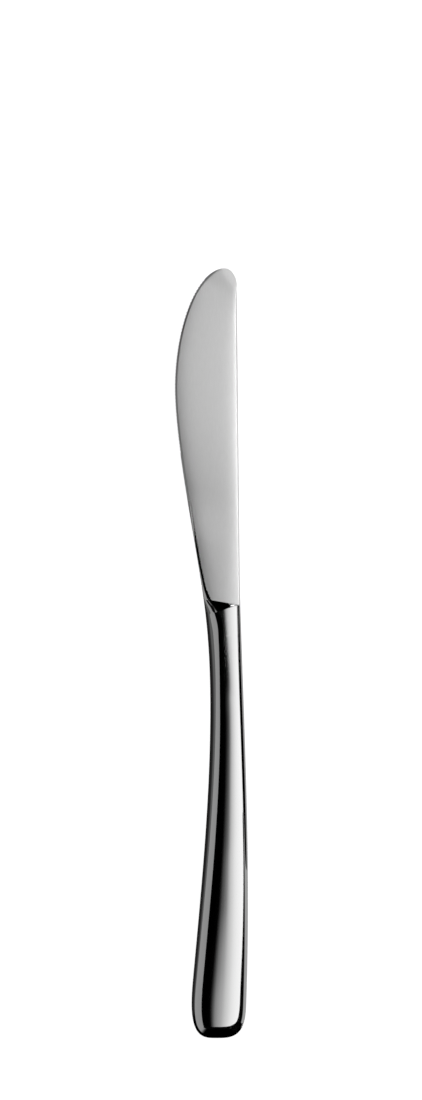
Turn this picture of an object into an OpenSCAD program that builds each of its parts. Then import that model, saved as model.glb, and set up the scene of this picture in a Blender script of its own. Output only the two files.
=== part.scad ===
// Hollow-handled dessert knife. Sizes are in millimetres.
// The knife lies on its side: X runs across it with the spine towards +X, Y runs along it with the tip
// towards +Y, and Z is up from the table. The origin is under the middle of the knife, on the table.
// In the drawing below, Y starts at the butt and X starts at the spine where it meets the shoulder.

/* [Overall] */
// Length from the butt to the tip
overall_len = 210; // [195:1:225]
// Length from the butt to the shoulder, where the blade begins
handle_len = 118; // [108:1:126]

/* [Blade outline] */
// Width at the belly, the widest place
blade_w = 17.3; // [14:0.1:20]
// Distance of the belly from the tip
belly_from_tip = 32.5; // [28:0.5:38]
// Width at the heel, where the blade leaves the shoulder
heel_w = 9.8; // [8.8:0.1:11]
// Angle at which the heel runs out towards the belly
heel_angle = 7.5; // [5:0.5:11]
// Length over which the edge keeps the heel's angle
heel_run = 16; // [10:1:25]
// Length over which the belly runs straight on the heel's side
belly_run = 15.5; // [8:0.5:20]
// Length over which the belly curves up on the tip's side
belly_sweep = 16; // [12:0.5:21]
// Length over which the edge lies flat across the top of the tip
tip_sweep = 8; // [5:0.5:9]
// Width of the curve that rounds the spine over at the tip
tip_round_w = 3.3; // [2.5:0.1:5]
// Length of that curve along the spine
tip_round_len = 4.6; // [3:0.1:6]
// Distance that the spine leans towards the edge along the blade
spine_lean = 0.9; // [0:0.1:2]

/* [Blade thickness] */
// Thickness of the spine at the shoulder
spine_t = 2.8; // [2.2:0.1:3.2]
// Thickness of the spine at the tip
tip_t = 1.4; // [1.3:0.05:1.8]
// Radius along the corners of the spine
spine_round = 0.6; // [0.3:0.05:0.62]
// Thickness of the blunt edge at the heel
heel_t = 1.5; // [1:0.1:2]
// Thickness behind the ground bevel
edge_t = 0.6; // [0.45:0.05:0.9]
// Width of the ground bevel
bevel_w = 0.7; // [0.5:0.05:1]
// Height by which each face is domed between the edge and the spine
face_dome = 0.22; // [0:0.02:0.3]
// Thickness left at the cutting edge
keen_t = 0.12; // [0.08:0.02:0.3]
// Length of the heel that is left blunt, from the shoulder
blunt_len = 16; // [10:1:20]
// Length over which the grinding of the edge sets in after it
grind_run = 16; // [10:1:20]
// Length of edge before the tip over which it is dulled again
tip_blunt = 7; // [4:0.5:9]
// Width of the roll along the blunt heel, next to the shoulder
heel_roll = 1.2; // [0.8:0.05:1.6]
// Length over which that roll runs out along the heel
roll_run = 14; // [8:0.5:20]
// Height by which each face lifts towards the shoulder
heel_lift = 0.5; // [0.2:0.05:0.6]
// Length over which it lifts
lift_len = 18; // [10:0.5:22]

/* [Serration] */
// Distance between teeth along the edge
tooth_pitch = 0.95; // [0.8:0.05:1.4]
// Depth of the scallop between two teeth
tooth_depth = 0.16; // [0.08:0.02:0.24]
// Width of each tooth's point
tooth_land = 0.1; // [0.05:0.05:0.25]
// Length of plain edge between the shoulder and the first scallop
teeth_from_heel = 42; // [36:1:50]
// Length of plain edge between the last scallop and the top of the tip
teeth_from_tip = 6; // [5:0.5:10]

/* [Handle] */
// Thickness of the handle
handle_t = 8; // [7.4:0.1:9.5]
// Thickness of the neck, at the shoulder
neck_t = 6.2; // [5.8:0.1:7.2]
// Distance from the butt at which the handle starts to thin towards the neck
taper_y = 88; // [84:1:96]
// Width of the butt, before its corners are rounded
butt_w = 15.6; // [13:0.1:18]
// Angle at which the flank flares out at the butt
flare_angle = 4.8; // [3:0.1:7]
// Width of the waist
waist_w = 9.15; // [8.4:0.05:10.5]
// Distance of the waist from the butt
waist_y = 90; // [78:1:96]
// Distance that the back swells out beyond the spine
swell = 2.1; // [1:0.05:3.5]
// Distance of the fullest swell from the butt
swell_y = 37; // [25:1:50]
// Distance that the back tucks in again at the butt
butt_tuck = 0.85; // [0.3:0.05:1.5]
// Angle at which the back leaves the shoulder
neck_angle = 1.8; // [0.5:0.1:4]
// Length of the butt's rounded corner on the edge side
butt_corner_edge = 18; // [12:0.5:22]
// Length of the butt's rounded corner on the back
butt_corner_back = 10; // [6:0.5:14]
// Length over which the butt's faces round over
butt_roll = 5; // [3:0.5:8]
// Squareness of the section at the neck, where 2 is an ellipse
neck_square = 1.85; // [1.8:0.05:2.3]
// Squareness of the section at the waist
waist_square = 2.4; // [2:0.1:3]
// Squareness of the section at the butt
butt_square = 2.9; // [2.2:0.1:3.5]

/* [Shoulder] */
// Height above the shoulder at which the edge side starts to rise to the handle
rise_edge = 1.9; // [0.8:0.1:2.6]
// Height above the shoulder at which the spine side starts to rise
rise_spine = 0.1; // [0:0.05:0.8]
// Length of the rise on the edge side
rise_len = 4; // [2.8:0.1:4.8]
// Length of the rise on the spine side
rise_min = 0.12; // [0.1:0.02:0.4]
// Length by which the handle's round flank runs on along the heel
flank_up = 6; // [4:0.5:8]

/* [Construction] */
// Length of the solid bolster below the shoulder
bolster_len = 8; // [7:0.5:12]
// Wall of the pressed half shells
shell_wall = 0.8; // [0.5:0.05:1.2]
// Thickness of the brazing in the seam and at the collar
braze_t = 0.15; // [0.1:0.01:0.3]
// Length of the spigot that plugs the mouth of the shells
spigot_len = 5; // [3:0.5:8]
// Clearance around the spigot
spigot_fit = 0.1; // [0.05:0.05:0.25]
// Length of the tang below the spigot
tang_len = 58; // [30:1:72]
// Width of the tang at its root
tang_w = 5; // [4:0.1:5.5]
// Width of the tang at its end
tang_tip_w = 3.4; // [2.5:0.1:4]
// Thickness of the tang
tang_t = 2.6; // [1.5:0.1:3.5]
// Radius of the notches that key the tang into the cement
notch_r = 0.8; // [0.4:0.1:1.1]
// Number of notches along each side of the tang
notch_count = 4; // [1:1:6]

/* [Hidden] */

// Segments across a face, an odd number so that the middle one is a flat land along the crown
face_segs = 13;
// Segments of a face that the blade's bevel and the corner of its spine take
bevel_segs = 2;
corner_segs = 3;
// Stations around the butt, along the body of the handle and along its mouth
butt_steps = 12;
body_steps = 22;
mouth_steps = 3;
// Stations along the bolster, up the shoulder, along the heel, the lower edge, the belly and the tip
bolster_steps = 7;
rise_steps = 3;
heel_steps = 5;
edge_steps = 14;
belly_steps = 22;
tip_steps = 6;
// Curvature of the butt's corners and of its rolled faces, as the power of a superellipse
corner_power = 3.2;
roll_power = 2.4;
// Share of the width and of the thickness left flat at the very end of the butt
butt_flat = 0.2;
// Share of a quarter ellipse's radius at which a cubic curve has its handles
round_pull = 0.55;
// Share of the tip's curve after which the last rib closes the blade
tip_close = 0.86;
// Largest shares of a rib that its bevel and its rounded spine may take
bevel_share = 0.2;
round_share = 0.3;
// Depth of the heel's roll beside the shoulder and where it runs out
heel_drop = 0.19;
runout_drop = 0.03;
// Bend of the line on which the shoulder reaches the handle, where 1 is straight
rise_bend = 1.5;
// How early in the rise the back takes the handle's section, where 1 is evenly
rise_back = 2;
// Length of bolster next to the joint that keeps the handle's full section
plain_len = 1;
// Flatness of the domed faces at the heel and from a length above it on, as the power of a curve
dome_heel = 2.4;
dome_tip = 6;
dome_run = 45;
// Length before the tip over which the dome dies out
dome_end = 14;
// Swell of the blade's faces between the edge and the spine, where 1 is a plain wedge
face_swell = 0.85;
// Depth by which the spigot and the tang are rooted in the solid behind them
root = 1;
// Length of edge above the shoulder on which the ribs bend with it
heel_zone = 5;
// Fineness of the curve on which the teeth are spaced
curve_steps = 80;
// Facets round a scallop's cutter and round a notch
scallop_facets = 48;
notch_facets = 32;

lip = braze_t/2;
joint_y = handle_len - bolster_len;
mouth_y = joint_y - braze_t;
cement_y = joint_y - spigot_len;
tang_y = cement_y - tang_len;
blade_len = overall_len - handle_len;
spine_end = [-spine_lean, overall_len - tip_round_len];
belly = [spine_x(overall_len - belly_from_tip) - blade_w, overall_len - belly_from_tip];
heel = [-heel_w, handle_len];
crown = [spine_end.x - tip_round_w, overall_len];
// Share by which the ribs' feet on the spine keep up with their ends on the edge
rib_lag = (spine_end.y - tip_round_len/2 - handle_len)/blade_len;

function lerp(a, b, t) = a + (b - a)*t;
function ease(t) = let (u = min(max(t, 0), 1)) u*u*(3 - 2*u);
function bezier(p, t) =
    let (u = 1 - t)
    u*u*u*p[0] + 3*u*u*t*p[1] + 3*u*t*t*p[2] + t*t*t*p[3];
// A cubic from [y, x, slope] to [y, x, slope]
function hermite(p, q, y) =
    let (run = q[0] - p[0], t = (y - p[0])/run, u = 1 - t)
    (1 + 2*t)*u*u*p[1] + t*u*u*run*p[2] + t*t*(3 - 2*t)*q[1] - t*t*u*run*q[2];
// Rounds an end over: 0 at the end, 1 from a given length on
function rounded(d, length, power) =
    d >= length ? 1 : pow(1 - pow(1 - max(d, 0)/length, power), 1/power);

// Outline of the handle: its back, on the spine's side, and its flank, on the edge's side
function back_x(y) =
    y < swell_y
    ? swell - butt_tuck*pow(1 - y/swell_y, 2)
    : hermite([swell_y, swell, 0], [handle_len, 0, -tan(neck_angle)], y);
waist = [waist_y, back_x(waist_y) - waist_w, 0];
function flank_x(y) =
    y < waist_y
    ? hermite([0, back_x(0) - butt_w, tan(flare_angle)], waist, y)
    : hermite(waist, [handle_len, heel.x, -tan(heel_angle)], y);

// Outline of the blade: a straight spine and an edge of three curves, heel to belly to tip to spine
function spine_x(y) = spine_end.x*(y - handle_len)/(spine_end.y - handle_len);
heel_curve = [
    heel,
    heel + heel_run*[-sin(heel_angle), cos(heel_angle)],
    belly - [0, belly_run],
    belly
];
belly_curve = [belly, belly + [0, belly_sweep], crown - [tip_sweep, 0], crown];
tip_curve = [
    crown,
    crown + [round_pull*tip_round_w, 0],
    spine_end + [0, round_pull*tip_round_len],
    spine_end
];

// Shape of a rounded section from the edge's side to the back, as [place across, height]
function round_arc(j, power) =
    let (
        a = 180*j/face_segs,
        across = -sign(cos(a))*pow(abs(cos(a)), 2/power)
    )
    [across, pow(sin(a), 2/power)/crown_share(power)];
function crown_share(power) = pow(sin(180*floor(face_segs/2)/face_segs), 2/power);
function squareness(y) =
    y < waist_y
    ? lerp(butt_square, waist_square, ease(y/waist_y))
    : lerp(waist_square, neck_square, ease((y - waist_y)/(handle_len - waist_y)));

// Half of the handle's thickness at y
function crown_h(y) = lerp(handle_t, neck_t, ease((y - taper_y)/(handle_len - taper_y)))/2;

// Upper half of the handle's section at y, set in from its outer face
function handle_half(y, inset) =
    let (
        left = flank_x(y) + inset,
        right = back_x(y) - inset,
        d = y - inset,
        half_w = (right - left)/2,
        edge_half = half_w*max(butt_flat, rounded(d, butt_corner_edge - inset, corner_power)),
        back_half = half_w*max(butt_flat, rounded(d, butt_corner_back - inset, corner_power)),
        rise = (crown_h(y) - inset - lip)*max(butt_flat, rounded(d, butt_roll - inset, roll_power))
    )
    [for (j = [0:face_segs])
        let (a = round_arc(j, squareness(y)))
        [(left + right)/2 + a[0]*(a[0] < 0 ? edge_half : back_half), y, lip + rise*a[1]]];

// Lines across the shoulder, f from 0 at the edge to 1 at the spine: where it starts to rise from the blade
// and where it has reached the handle
function rise_y(f) = handle_len + lerp(rise_edge, rise_spine, f);
function foot_y(f) = rise_y(f) - rise_min - rise_len*pow(1 - pow(f, rise_bend), rise_bend);

// Ribs of the blade. Each ends on the edge, and its foot on the spine lags a little behind.
function rib_foot(edge) =
    let (y = lerp(handle_len, edge.y, rib_lag))
    [spine_x(y), y];
// How blunt the edge is: 1 at the heel and at the tip, 0 where it is ground keen
function edge_blunt(edge) =
    max(1 - ease((edge.y - handle_len - blunt_len)/grind_run), ease(1 - norm(crown - edge)/tip_blunt));
// A cubic sets out at three times the length of its first handle
heel_span = heel_zone/(3*heel_run);
heel_edge = bezier(heel_curve, heel_span);
heel_xs = [for (k = [0:curve_steps])
    let (e = bezier(heel_curve, k/curve_steps))
    [e.y, e.x]];
function left_x(y) = y < handle_len ? flank_x(y) : lookup(y, heel_xs);
function right_x(y) = y < handle_len ? back_x(y) : spine_x(y);

// Plan of a rib. A straight one is given by its two ends. One that bends with the shoulder is given by a
// number: 0 to 1 along the bolster, to 2 up the shoulder and to 3 along the heel.
function bent_y(step, f) =
    step < 1 ? lerp(joint_y, foot_y(f), step)
    : step < 2 ? lerp(foot_y(f), rise_y(f), step - 1)
    : lerp(rise_y(f), lerp(heel_edge.y, rib_foot(heel_edge).y, f), step - 2);
function plan(rib, f) =
    is_list(rib)
    ? lerp(rib[0], rib[1], f)
    : let (y = bent_y(rib, f)) [lerp(left_x(y), right_x(y), f), y];

// Height of the blade's face above its mid-plane
function blade_h(f, y, edge_h, spine_h) =
    let (
        power = lerp(dome_heel, dome_tip, ease((y - handle_len)/dome_run)),
        dome = face_dome*(1 - pow(abs(2*f - 1), power))*ease((overall_len - y)/dome_end),
        lift = heel_lift*pow(min(max(1 - (y - handle_len)/lift_len, 0), 1), 2)
    )
    lerp(edge_h, spine_h, pow(f, face_swell)) + dome + lift;

// Place across the blade of point j of a rib: on the bevel, on the face or on the spine's corner
function spread_over(j, bevel, corner) =
    let (flat_end = face_segs - corner_segs)
    j < bevel_segs ? bevel*j/bevel_segs
    : j <= flat_end ? lerp(bevel, 1 - corner, (j - bevel_segs)/(flat_end - bevel_segs))
    : 1 - corner*(1 - sin(90*(j - flat_end)/corner_segs));

// Upper half of the forging's section. Its height is rolled over at both ends: narrowly on the blade, and
// each over half of the width on the handle. risen is 0 on the blade and 1 on the handle.
function forged_half(rib, risen, blunt) =
    let (
        edge = plan(rib, 0),
        spine = plan(rib, 1),
        length = norm(spine - edge),
        along = (spine.y - handle_len)/(spine_end.y - handle_len),
        spine_h = lerp(spine_t, tip_t, min(max(along, 0), 1))/2,
        edge_h = min(lerp(edge_t, heel_t, blunt)/2, spine_h),
        flank = ease((handle_len + flank_up - edge.y)/(flank_up + bolster_len - plain_len)),
        rolled = ease((handle_len + roll_run - edge.y)/roll_run),
        bevel = min(lerp(bevel_w, heel_roll, rolled)/length, bevel_share),
        corner = min(spine_round/length, round_share),
        back = 1 - pow(1 - risen, rise_back),
        crown_top = lerp(1, crown_share(squareness(edge.y)), flank*risen)
    )
    [for (j = [0:face_segs])
        let (
            f = lerp(spread_over(j, bevel, corner), (1 + round_arc(j, squareness(edge.y))[0])/2, flank),
            p = plan(rib, f),
            square = squareness(p.y),
            face = blade_h(f, p.y, edge_h, spine_h),
            h = lerp(face, crown_h(p.y), risen),
            blunt_rim = face - lerp(runout_drop, heel_drop, rolled),
            edge_rim = lerp(lerp(keen_t/2, blunt_rim, blunt), lip, flank),
            blade_rim = blade_h(1, p.y, edge_h, spine_h) - min(spine_round, corner*length),
            rim = lerp(edge_rim, lerp(blade_rim, lip, back), f),
            edge_roll = rounded(f, lerp(bevel, 0.5, flank), lerp(1 + blunt, square, flank)),
            back_roll = rounded(1 - f, lerp(corner, 0.5, back), lerp(2, square, back))
        )
        [p.x, p.y, rim + (h - rim)*edge_roll*back_roll/crown_top]];

neck_steps = concat(
    [for (k = [0:bolster_steps - 1]) k/bolster_steps],
    [for (k = [0:rise_steps - 1]) 1 + k/rise_steps],
    [for (k = [0:heel_steps]) 2 + k/heel_steps]
);
neck_ribs = [for (step = neck_steps)
    forged_half(step, min(max(2 - step, 0), 1), edge_blunt(plan(step, 0)))];
blade_ribs = concat(
    [for (k = [1:edge_steps])
        let (e = bezier(heel_curve, lerp(heel_span, 1, k/edge_steps)))
        forged_half([e, rib_foot(e)], 0, edge_blunt(e))],
    [for (k = [1:belly_steps])
        let (e = bezier(belly_curve, k/belly_steps))
        forged_half([e, rib_foot(e)], 0, edge_blunt(e))],
    [for (k = [1:tip_steps])
        let (
            t = tip_close*k/tip_steps,
            y = lerp(rib_foot(crown).y, spine_end.y, t)
        )
        forged_half([bezier(tip_curve, t), [spine_x(y), y]], 0, 1)]
);

// The whole edge as one run of points, with its length so far, so that teeth can be spaced along it
edge_points = concat(
    [for (k = [0:curve_steps]) bezier(heel_curve, k/curve_steps)],
    [for (k = [1:curve_steps]) bezier(belly_curve, k/curve_steps)]
);
edge_runs = [for (i = 0, s = 0; i < len(edge_points);
    s = s + (i + 1 < len(edge_points) ? norm(edge_points[i + 1] - edge_points[i]) : 0), i = i + 1) s];
edge_xs = [for (i = [0:len(edge_points) - 1]) [edge_runs[i], edge_points[i].x]];
edge_ys = [for (i = [0:len(edge_points) - 1]) [edge_runs[i], edge_points[i].y]];
edge_len = edge_runs[len(edge_runs) - 1];
function edge_at(s) = [lookup(s, edge_xs), lookup(s, edge_ys)];
tooth_count = floor((edge_len - teeth_from_heel - teeth_from_tip)/tooth_pitch);
scallop_half = (tooth_pitch - tooth_land)/2;
scallop_r = (scallop_half*scallop_half + tooth_depth*tooth_depth)/(2*tooth_depth);

// Places along the handle, closer together around the butt
function stations(start) = concat(
    [for (k = [0:butt_steps]) lerp(start, butt_corner_edge, 1 - cos(90*k/butt_steps))],
    [for (k = [1:body_steps]) lerp(butt_corner_edge, cement_y, k/body_steps)],
    [for (k = [1:mouth_steps]) lerp(cement_y, mouth_y, k/mouth_steps)]
);
outer_halves = [for (y = stations(0)) handle_half(y, 0)];
inner_halves = [for (y = stations(shell_wall)) handle_half(y, shell_wall)];

function reversed(list) = [for (i = [len(list) - 1:-1:0]) list[i]];
function full(half) = concat(half, [for (p = reversed(half)) [p.x, p.y, -p.z]]);

// Skin over a row of closed rings, with a flat cap at each end
module loft(rings) {
    n = len(rings[0]);
    last = n*(len(rings) - 1);
    sides = [for (i = [0:n:last - n], j = [0:n - 1])
        let (a = i + j, b = i + (j + 1) % n)
        each [[a, a + n, b + n], [a, b + n, b]]];
    caps = [[for (j = [0:n - 1]) j], [for (j = [n - 1:-1:0]) last + j]];
    polyhedron([for (r = rings) each r], concat(sides, caps), convexity = 8);
}

// Moves the drawing to the knife's own frame
module placed() {
    translate([-(belly.x + swell)/2, -overall_len/2, handle_t/2])
        children();
}

// Cutters for the row of scallops that leaves the teeth
module scallops() {
    for (i = [0:tooth_count - 1]) {
        s = teeth_from_heel + (i + 0.5)*tooth_pitch;
        along = edge_at(s + scallop_half) - edge_at(s - scallop_half);
        outward = [-along.y, along.x]/norm(along);
        translate(edge_at(s) + (scallop_r - tooth_depth)*outward)
            cylinder(h = 2*heel_t, r = scallop_r, center = true, $fn = scallop_facets);
    }
}

// Flat tapered tang with rounded notches, which the cement grips
module tang() {
    top = [(flank_x(cement_y) + back_x(cement_y))/2, cement_y + root];
    end = [(flank_x(tang_y) + back_x(tang_y))/2, tang_y];
    linear_extrude(height = tang_t, center = true)
        difference() {
            polygon([
                top - [tang_w/2, 0], end - [tang_tip_w/2, 0],
                end + [tang_tip_w/2, 0], top + [tang_w/2, 0]
            ]);
            for (k = [1:notch_count], side = [-1, 1]) {
                t = k/(notch_count + 1);
                half_w = lerp(tang_w, tang_tip_w, t)/2;
                translate(lerp(top, end, t) + [side*half_w, 0])
                    circle(r = notch_r, $fn = notch_facets);
            }
        }
}

module blade() {
    color("#c6c8ca")
        placed() {
            difference() {
                loft([for (half = concat(neck_ribs, blade_ribs)) full(half)]);
                scallops();
            }
            loft([for (y = [cement_y, joint_y + root]) full(handle_half(y, shell_wall + spigot_fit))]);
            tang();
        }
}

// Upper half shell: the outer form less the hollow, which runs out through the mouth
module half_shell() {
    past_mouth = handle_half(mouth_y + root, shell_wall);
    difference() {
        loft(outer_halves);
        loft([for (half = concat(inner_halves, [past_mouth])) full(half)]);
    }
}

module handle_shell_front() {
    color("#dcdde0")
        placed()
            half_shell();
}

module handle_shell_back() {
    color("#d2d3d6")
        placed()
            mirror([0, 0, 1])
                half_shell();
}

// Ribbon of brazing between the rims of the two half shells, open at the mouth
module seam_braze() {
    outer = concat([for (h = outer_halves) h[0]], reversed([for (h = outer_halves) h[face_segs]]));
    past = [0, root, 0];
    mouth = inner_halves[len(inner_halves) - 1];
    inner = concat(
        [for (h = inner_halves) h[0]],
        [mouth[0] + past, mouth[face_segs] + past],
        reversed([for (h = inner_halves) h[face_segs]])
    );
    color("#c9c2b0")
        placed()
            linear_extrude(height = braze_t, center = true)
                difference() {
                    polygon([for (p = outer) [p.x, p.y]]);
                    polygon([for (p = inner) [p.x, p.y]]);
                }
}

// Ring of brazing between the bolster and the mouth of the shells
module collar_braze() {
    color("#c9c2b0")
        placed()
            translate([0, joint_y, 0])
                rotate([90, 0, 0])
                    linear_extrude(height = braze_t)
                        difference() {
                            polygon([for (p = full(handle_half(mouth_y, 0))) [p.x, p.z]]);
                            polygon([for (p = full(handle_half(mouth_y, shell_wall))) [p.x, p.z]]);
                        }
}

// Cement that fills the hollow handle and holds the tang
module tang_cement() {
    color("#b4aea2")
        placed()
            difference() {
                loft([for (i = [0:butt_steps + body_steps]) full(inner_halves[i])]);
                tang();
            }
}

blade();
handle_shell_front();
handle_shell_back();
seam_braze();
collar_braze();
tang_cement();
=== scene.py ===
# %% [markdown]
# # A hollow-handled dessert knife
#
# The knife lies on its side, seen from straight above. Its CAD model is already packed as a frame, in
# metres, with the origin on the table under the middle of the knife: +Y runs to the tip, +X to the spine
# and +Z up. This lesson dresses that frame. A polished handle shows every facet of a CAD mesh, so the
# visible pieces are lofted again here, much finer, from the same driving sizes.

# %% Load the frame
import math

import bmesh
import bpy
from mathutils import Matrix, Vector


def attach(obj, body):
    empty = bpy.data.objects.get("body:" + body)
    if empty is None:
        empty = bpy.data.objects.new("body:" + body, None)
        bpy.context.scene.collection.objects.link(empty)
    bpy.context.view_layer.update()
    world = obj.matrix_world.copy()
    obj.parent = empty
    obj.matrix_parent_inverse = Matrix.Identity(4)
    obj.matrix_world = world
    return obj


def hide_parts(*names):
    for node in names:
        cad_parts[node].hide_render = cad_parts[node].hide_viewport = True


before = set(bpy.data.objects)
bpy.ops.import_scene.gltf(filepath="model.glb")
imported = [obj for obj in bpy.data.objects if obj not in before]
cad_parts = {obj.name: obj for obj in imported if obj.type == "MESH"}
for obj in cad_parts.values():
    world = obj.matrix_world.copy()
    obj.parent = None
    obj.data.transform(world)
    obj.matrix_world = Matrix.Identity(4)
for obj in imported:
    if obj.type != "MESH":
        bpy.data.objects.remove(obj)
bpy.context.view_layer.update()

# %% [markdown]
# ## The knife's sizes
#
# These are the sizes that drive the outline and the sections, in millimetres. Y is counted from the butt
# and X from the spine at the shoulder, as on the maker's drawing. One function moves a point of the
# drawing into the frame, so the drawing can stay in round numbers.

# %% Sizes on the drawing
OVERALL_LEN, HANDLE_LEN = 210.0, 118.0
BLADE_W, BELLY_FROM_TIP, HEEL_W = 17.3, 32.5, 9.8
HEEL_ANGLE, HEEL_RUN, BELLY_RUN = math.radians(7.5), 16.0, 15.5
BELLY_SWEEP, TIP_SWEEP = 16.0, 8.0
TIP_ROUND_W, TIP_ROUND_LEN, SPINE_LEAN = 3.3, 4.6, 0.9
HANDLE_T, NECK_T, TAPER_Y = 8.0, 6.2, 88.0
BUTT_W, FLARE_ANGLE = 15.6, math.radians(4.8)
WAIST_W, WAIST_Y = 9.15, 90.0
SWELL, SWELL_Y, BUTT_TUCK, NECK_ANGLE = 2.1, 37.0, 0.85, math.radians(1.8)
BOLSTER_LEN, SHELL_WALL, BRAZE_T = 8.0, 0.8, 0.15
LIP = BRAZE_T / 2
JOINT_Y = HANDLE_LEN - BOLSTER_LEN
MOUTH_Y = JOINT_Y - BRAZE_T
SPINE_END = Vector((-SPINE_LEAN, OVERALL_LEN - TIP_ROUND_LEN))


def spine_x(y):
    return SPINE_END.x * (y - HANDLE_LEN) / (SPINE_END.y - HANDLE_LEN)


BELLY = Vector((spine_x(OVERALL_LEN - BELLY_FROM_TIP) - BLADE_W, OVERALL_LEN - BELLY_FROM_TIP))
HEEL = Vector((-HEEL_W, HANDLE_LEN))
CROWN = Vector((SPINE_END.x - TIP_ROUND_W, OVERALL_LEN))
ORIGIN = Vector(((BELLY.x + SWELL) / 2, OVERALL_LEN / 2, -HANDLE_T / 2))


def placed(x, y, z):
    """A point of the drawing, in millimetres, as a point of the frame, in metres."""
    return (Vector((x, y, z)) - ORIGIN) / 1000


print("butt at", tuple(placed(0, 0, 0)), "tip at", tuple(placed(CROWN.x, CROWN.y, 0)))

# %% [markdown]
# ## Curves of the outline
#
# The handle's two long sides are cubics from one station to the next, each with a slope at its ends, and
# the blade's edge is a chain of Bezier curves from the heel round the belly to the tip. Short functions
# give a point anywhere on them, so a loft may take as many stations as its finish needs.

# %% Curve helpers
def lerp(a, b, t):
    return a + (b - a) * t


def ease(t):
    t = min(max(t, 0.0), 1.0)
    return t * t * (3 - 2 * t)


def bezier(p, t):
    u = 1 - t
    return u**3 * p[0] + 3 * u * u * t * p[1] + 3 * u * t * t * p[2] + t**3 * p[3]


def hermite(p, q, y):
    """A cubic between two stations (y, x, slope)."""
    run = q[0] - p[0]
    t = (y - p[0]) / run
    u = 1 - t
    return ((1 + 2 * t) * u * u * p[1] + t * u * u * run * p[2]
            + t * t * (3 - 2 * t) * q[1] - t * t * u * run * q[2])


def rounded(distance, length, power):
    """Rounds an end over: 0 at the end, 1 from the given length on."""
    if distance >= length:
        return 1.0
    return (1 - (1 - max(distance, 0.0) / length) ** power) ** (1 / power)


print("a round end is", round(rounded(1, 2, 2), 3), "high halfway in")

# %% [markdown]
# The back of the handle swells and runs down to the neck. The other side narrows from the butt to the waist
# and opens again to the heel, where the blade's edge takes over without a break.

# %% Outline of handle and edge
def back_x(y):
    if y < SWELL_Y:
        return SWELL - BUTT_TUCK * (1 - y / SWELL_Y) ** 2
    return hermite((SWELL_Y, SWELL, 0), (HANDLE_LEN, 0, -math.tan(NECK_ANGLE)), y)


WAIST = (WAIST_Y, back_x(WAIST_Y) - WAIST_W, 0)


def flank_x(y):
    if y < WAIST_Y:
        return hermite((0, back_x(0) - BUTT_W, math.tan(FLARE_ANGLE)), WAIST, y)
    return hermite(WAIST, (HANDLE_LEN, HEEL.x, -math.tan(HEEL_ANGLE)), y)


ROUND_PULL = 0.55
HEEL_CURVE = [
    HEEL,
    HEEL + HEEL_RUN * Vector((-math.sin(HEEL_ANGLE), math.cos(HEEL_ANGLE))),
    BELLY - Vector((0, BELLY_RUN)),
    BELLY,
]
BELLY_CURVE = [BELLY, BELLY + Vector((0, BELLY_SWEEP)), CROWN - Vector((TIP_SWEEP, 0)), CROWN]
TIP_CURVE = [
    CROWN,
    CROWN + Vector((ROUND_PULL * TIP_ROUND_W, 0)),
    SPINE_END + Vector((0, ROUND_PULL * TIP_ROUND_LEN)),
    SPINE_END,
]
print("waist", round(back_x(WAIST_Y) - flank_x(WAIST_Y), 2), "mm wide")

# %% [markdown]
# ## Lofting by extrusion
#
# A loft could be a list of points and faces, but Blender's own extrude already makes the skin: it copies a
# row of edges and joins the copy to the old row with faces. The helper draws the first section from a few
# vertices, extrudes its edges from station to station, and moves each new row to the next section.

# %% Loft helper
def loft(bm, sections, closed):
    """Extrudes the first section through all the others. Returns every row of vertices."""
    row = [bm.verts.new(p) for p in sections[0]]
    rows = [row]
    pairs = list(zip(row, row[1:] + row[:1])) if closed else list(zip(row, row[1:]))
    edges = [bm.edges.new(pair) for pair in pairs]
    for section in sections[1:]:
        made = bmesh.ops.extrude_edge_only(bm, edges=edges)["geom"]
        edges = [g for g in made if isinstance(g, bmesh.types.BMEdge)]
        fresh = {g for g in made if isinstance(g, bmesh.types.BMVert)}
        row = [next(e.other_vert(v) for e in v.link_edges if e.other_vert(v) in fresh) for v in row]
        for vert, point in zip(row, section):
            vert.co = point
        rows.append(row)
    return rows


print("loft helper ready")

# %% [markdown]
# Every lofted piece is finished alike: faces turned outwards, smooth shading broken only at sharp edges, and
# the CAD node that it stands for hidden.

# %% Finishing a piece
SHARP = math.radians(20)


def finish_piece(bm, name, node):
    """Turns a bmesh into a smooth-shaded piece that stands for one CAD node."""
    bmesh.ops.recalc_face_normals(bm, faces=bm.faces)
    for face in bm.faces:
        face.smooth = True
    for edge in bm.edges:
        edge.smooth = edge.calc_face_angle(0) < SHARP
    mesh = bpy.data.meshes.new(name)
    bm.to_mesh(mesh)
    bm.free()
    piece = bpy.data.objects.new(name, mesh)
    bpy.context.scene.collection.objects.link(piece)
    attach(piece, "root")
    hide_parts(node)
    print(name, "has", len(mesh.polygons), "faces")
    return piece


# %% [markdown]
# ## The handle's section
#
# Each half shell was pressed from sheet into a soft, squarish trough. A superellipse gives that section:
# at power 2 it is an ellipse, and a higher power fills its corners. The same curve, run along the length,
# rolls the butt over.

# %% Handle section
NECK_SQUARE, WAIST_SQUARE, BUTT_SQUARE = 1.85, 2.4, 2.9
BUTT_CORNER_EDGE, BUTT_CORNER_BACK, BUTT_ROLL = 18.0, 10.0, 5.0
CORNER_POWER, ROLL_POWER, BUTT_FLAT = 3.2, 2.4, 0.03


def round_arc(s, power):
    """A point of the rounded section, s from 0 on the edge's side to 1 on the back: (across, height)."""
    c, h = math.cos(math.pi * s), math.sin(math.pi * s)
    return -math.copysign(abs(c) ** (2 / power), c), max(h, 0.0) ** (2 / power)


def crown(y):
    """Half the handle's thickness, which thins from the waist to the neck."""
    return lerp(HANDLE_T, NECK_T, ease((y - TAPER_Y) / (HANDLE_LEN - TAPER_Y))) / 2


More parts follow.
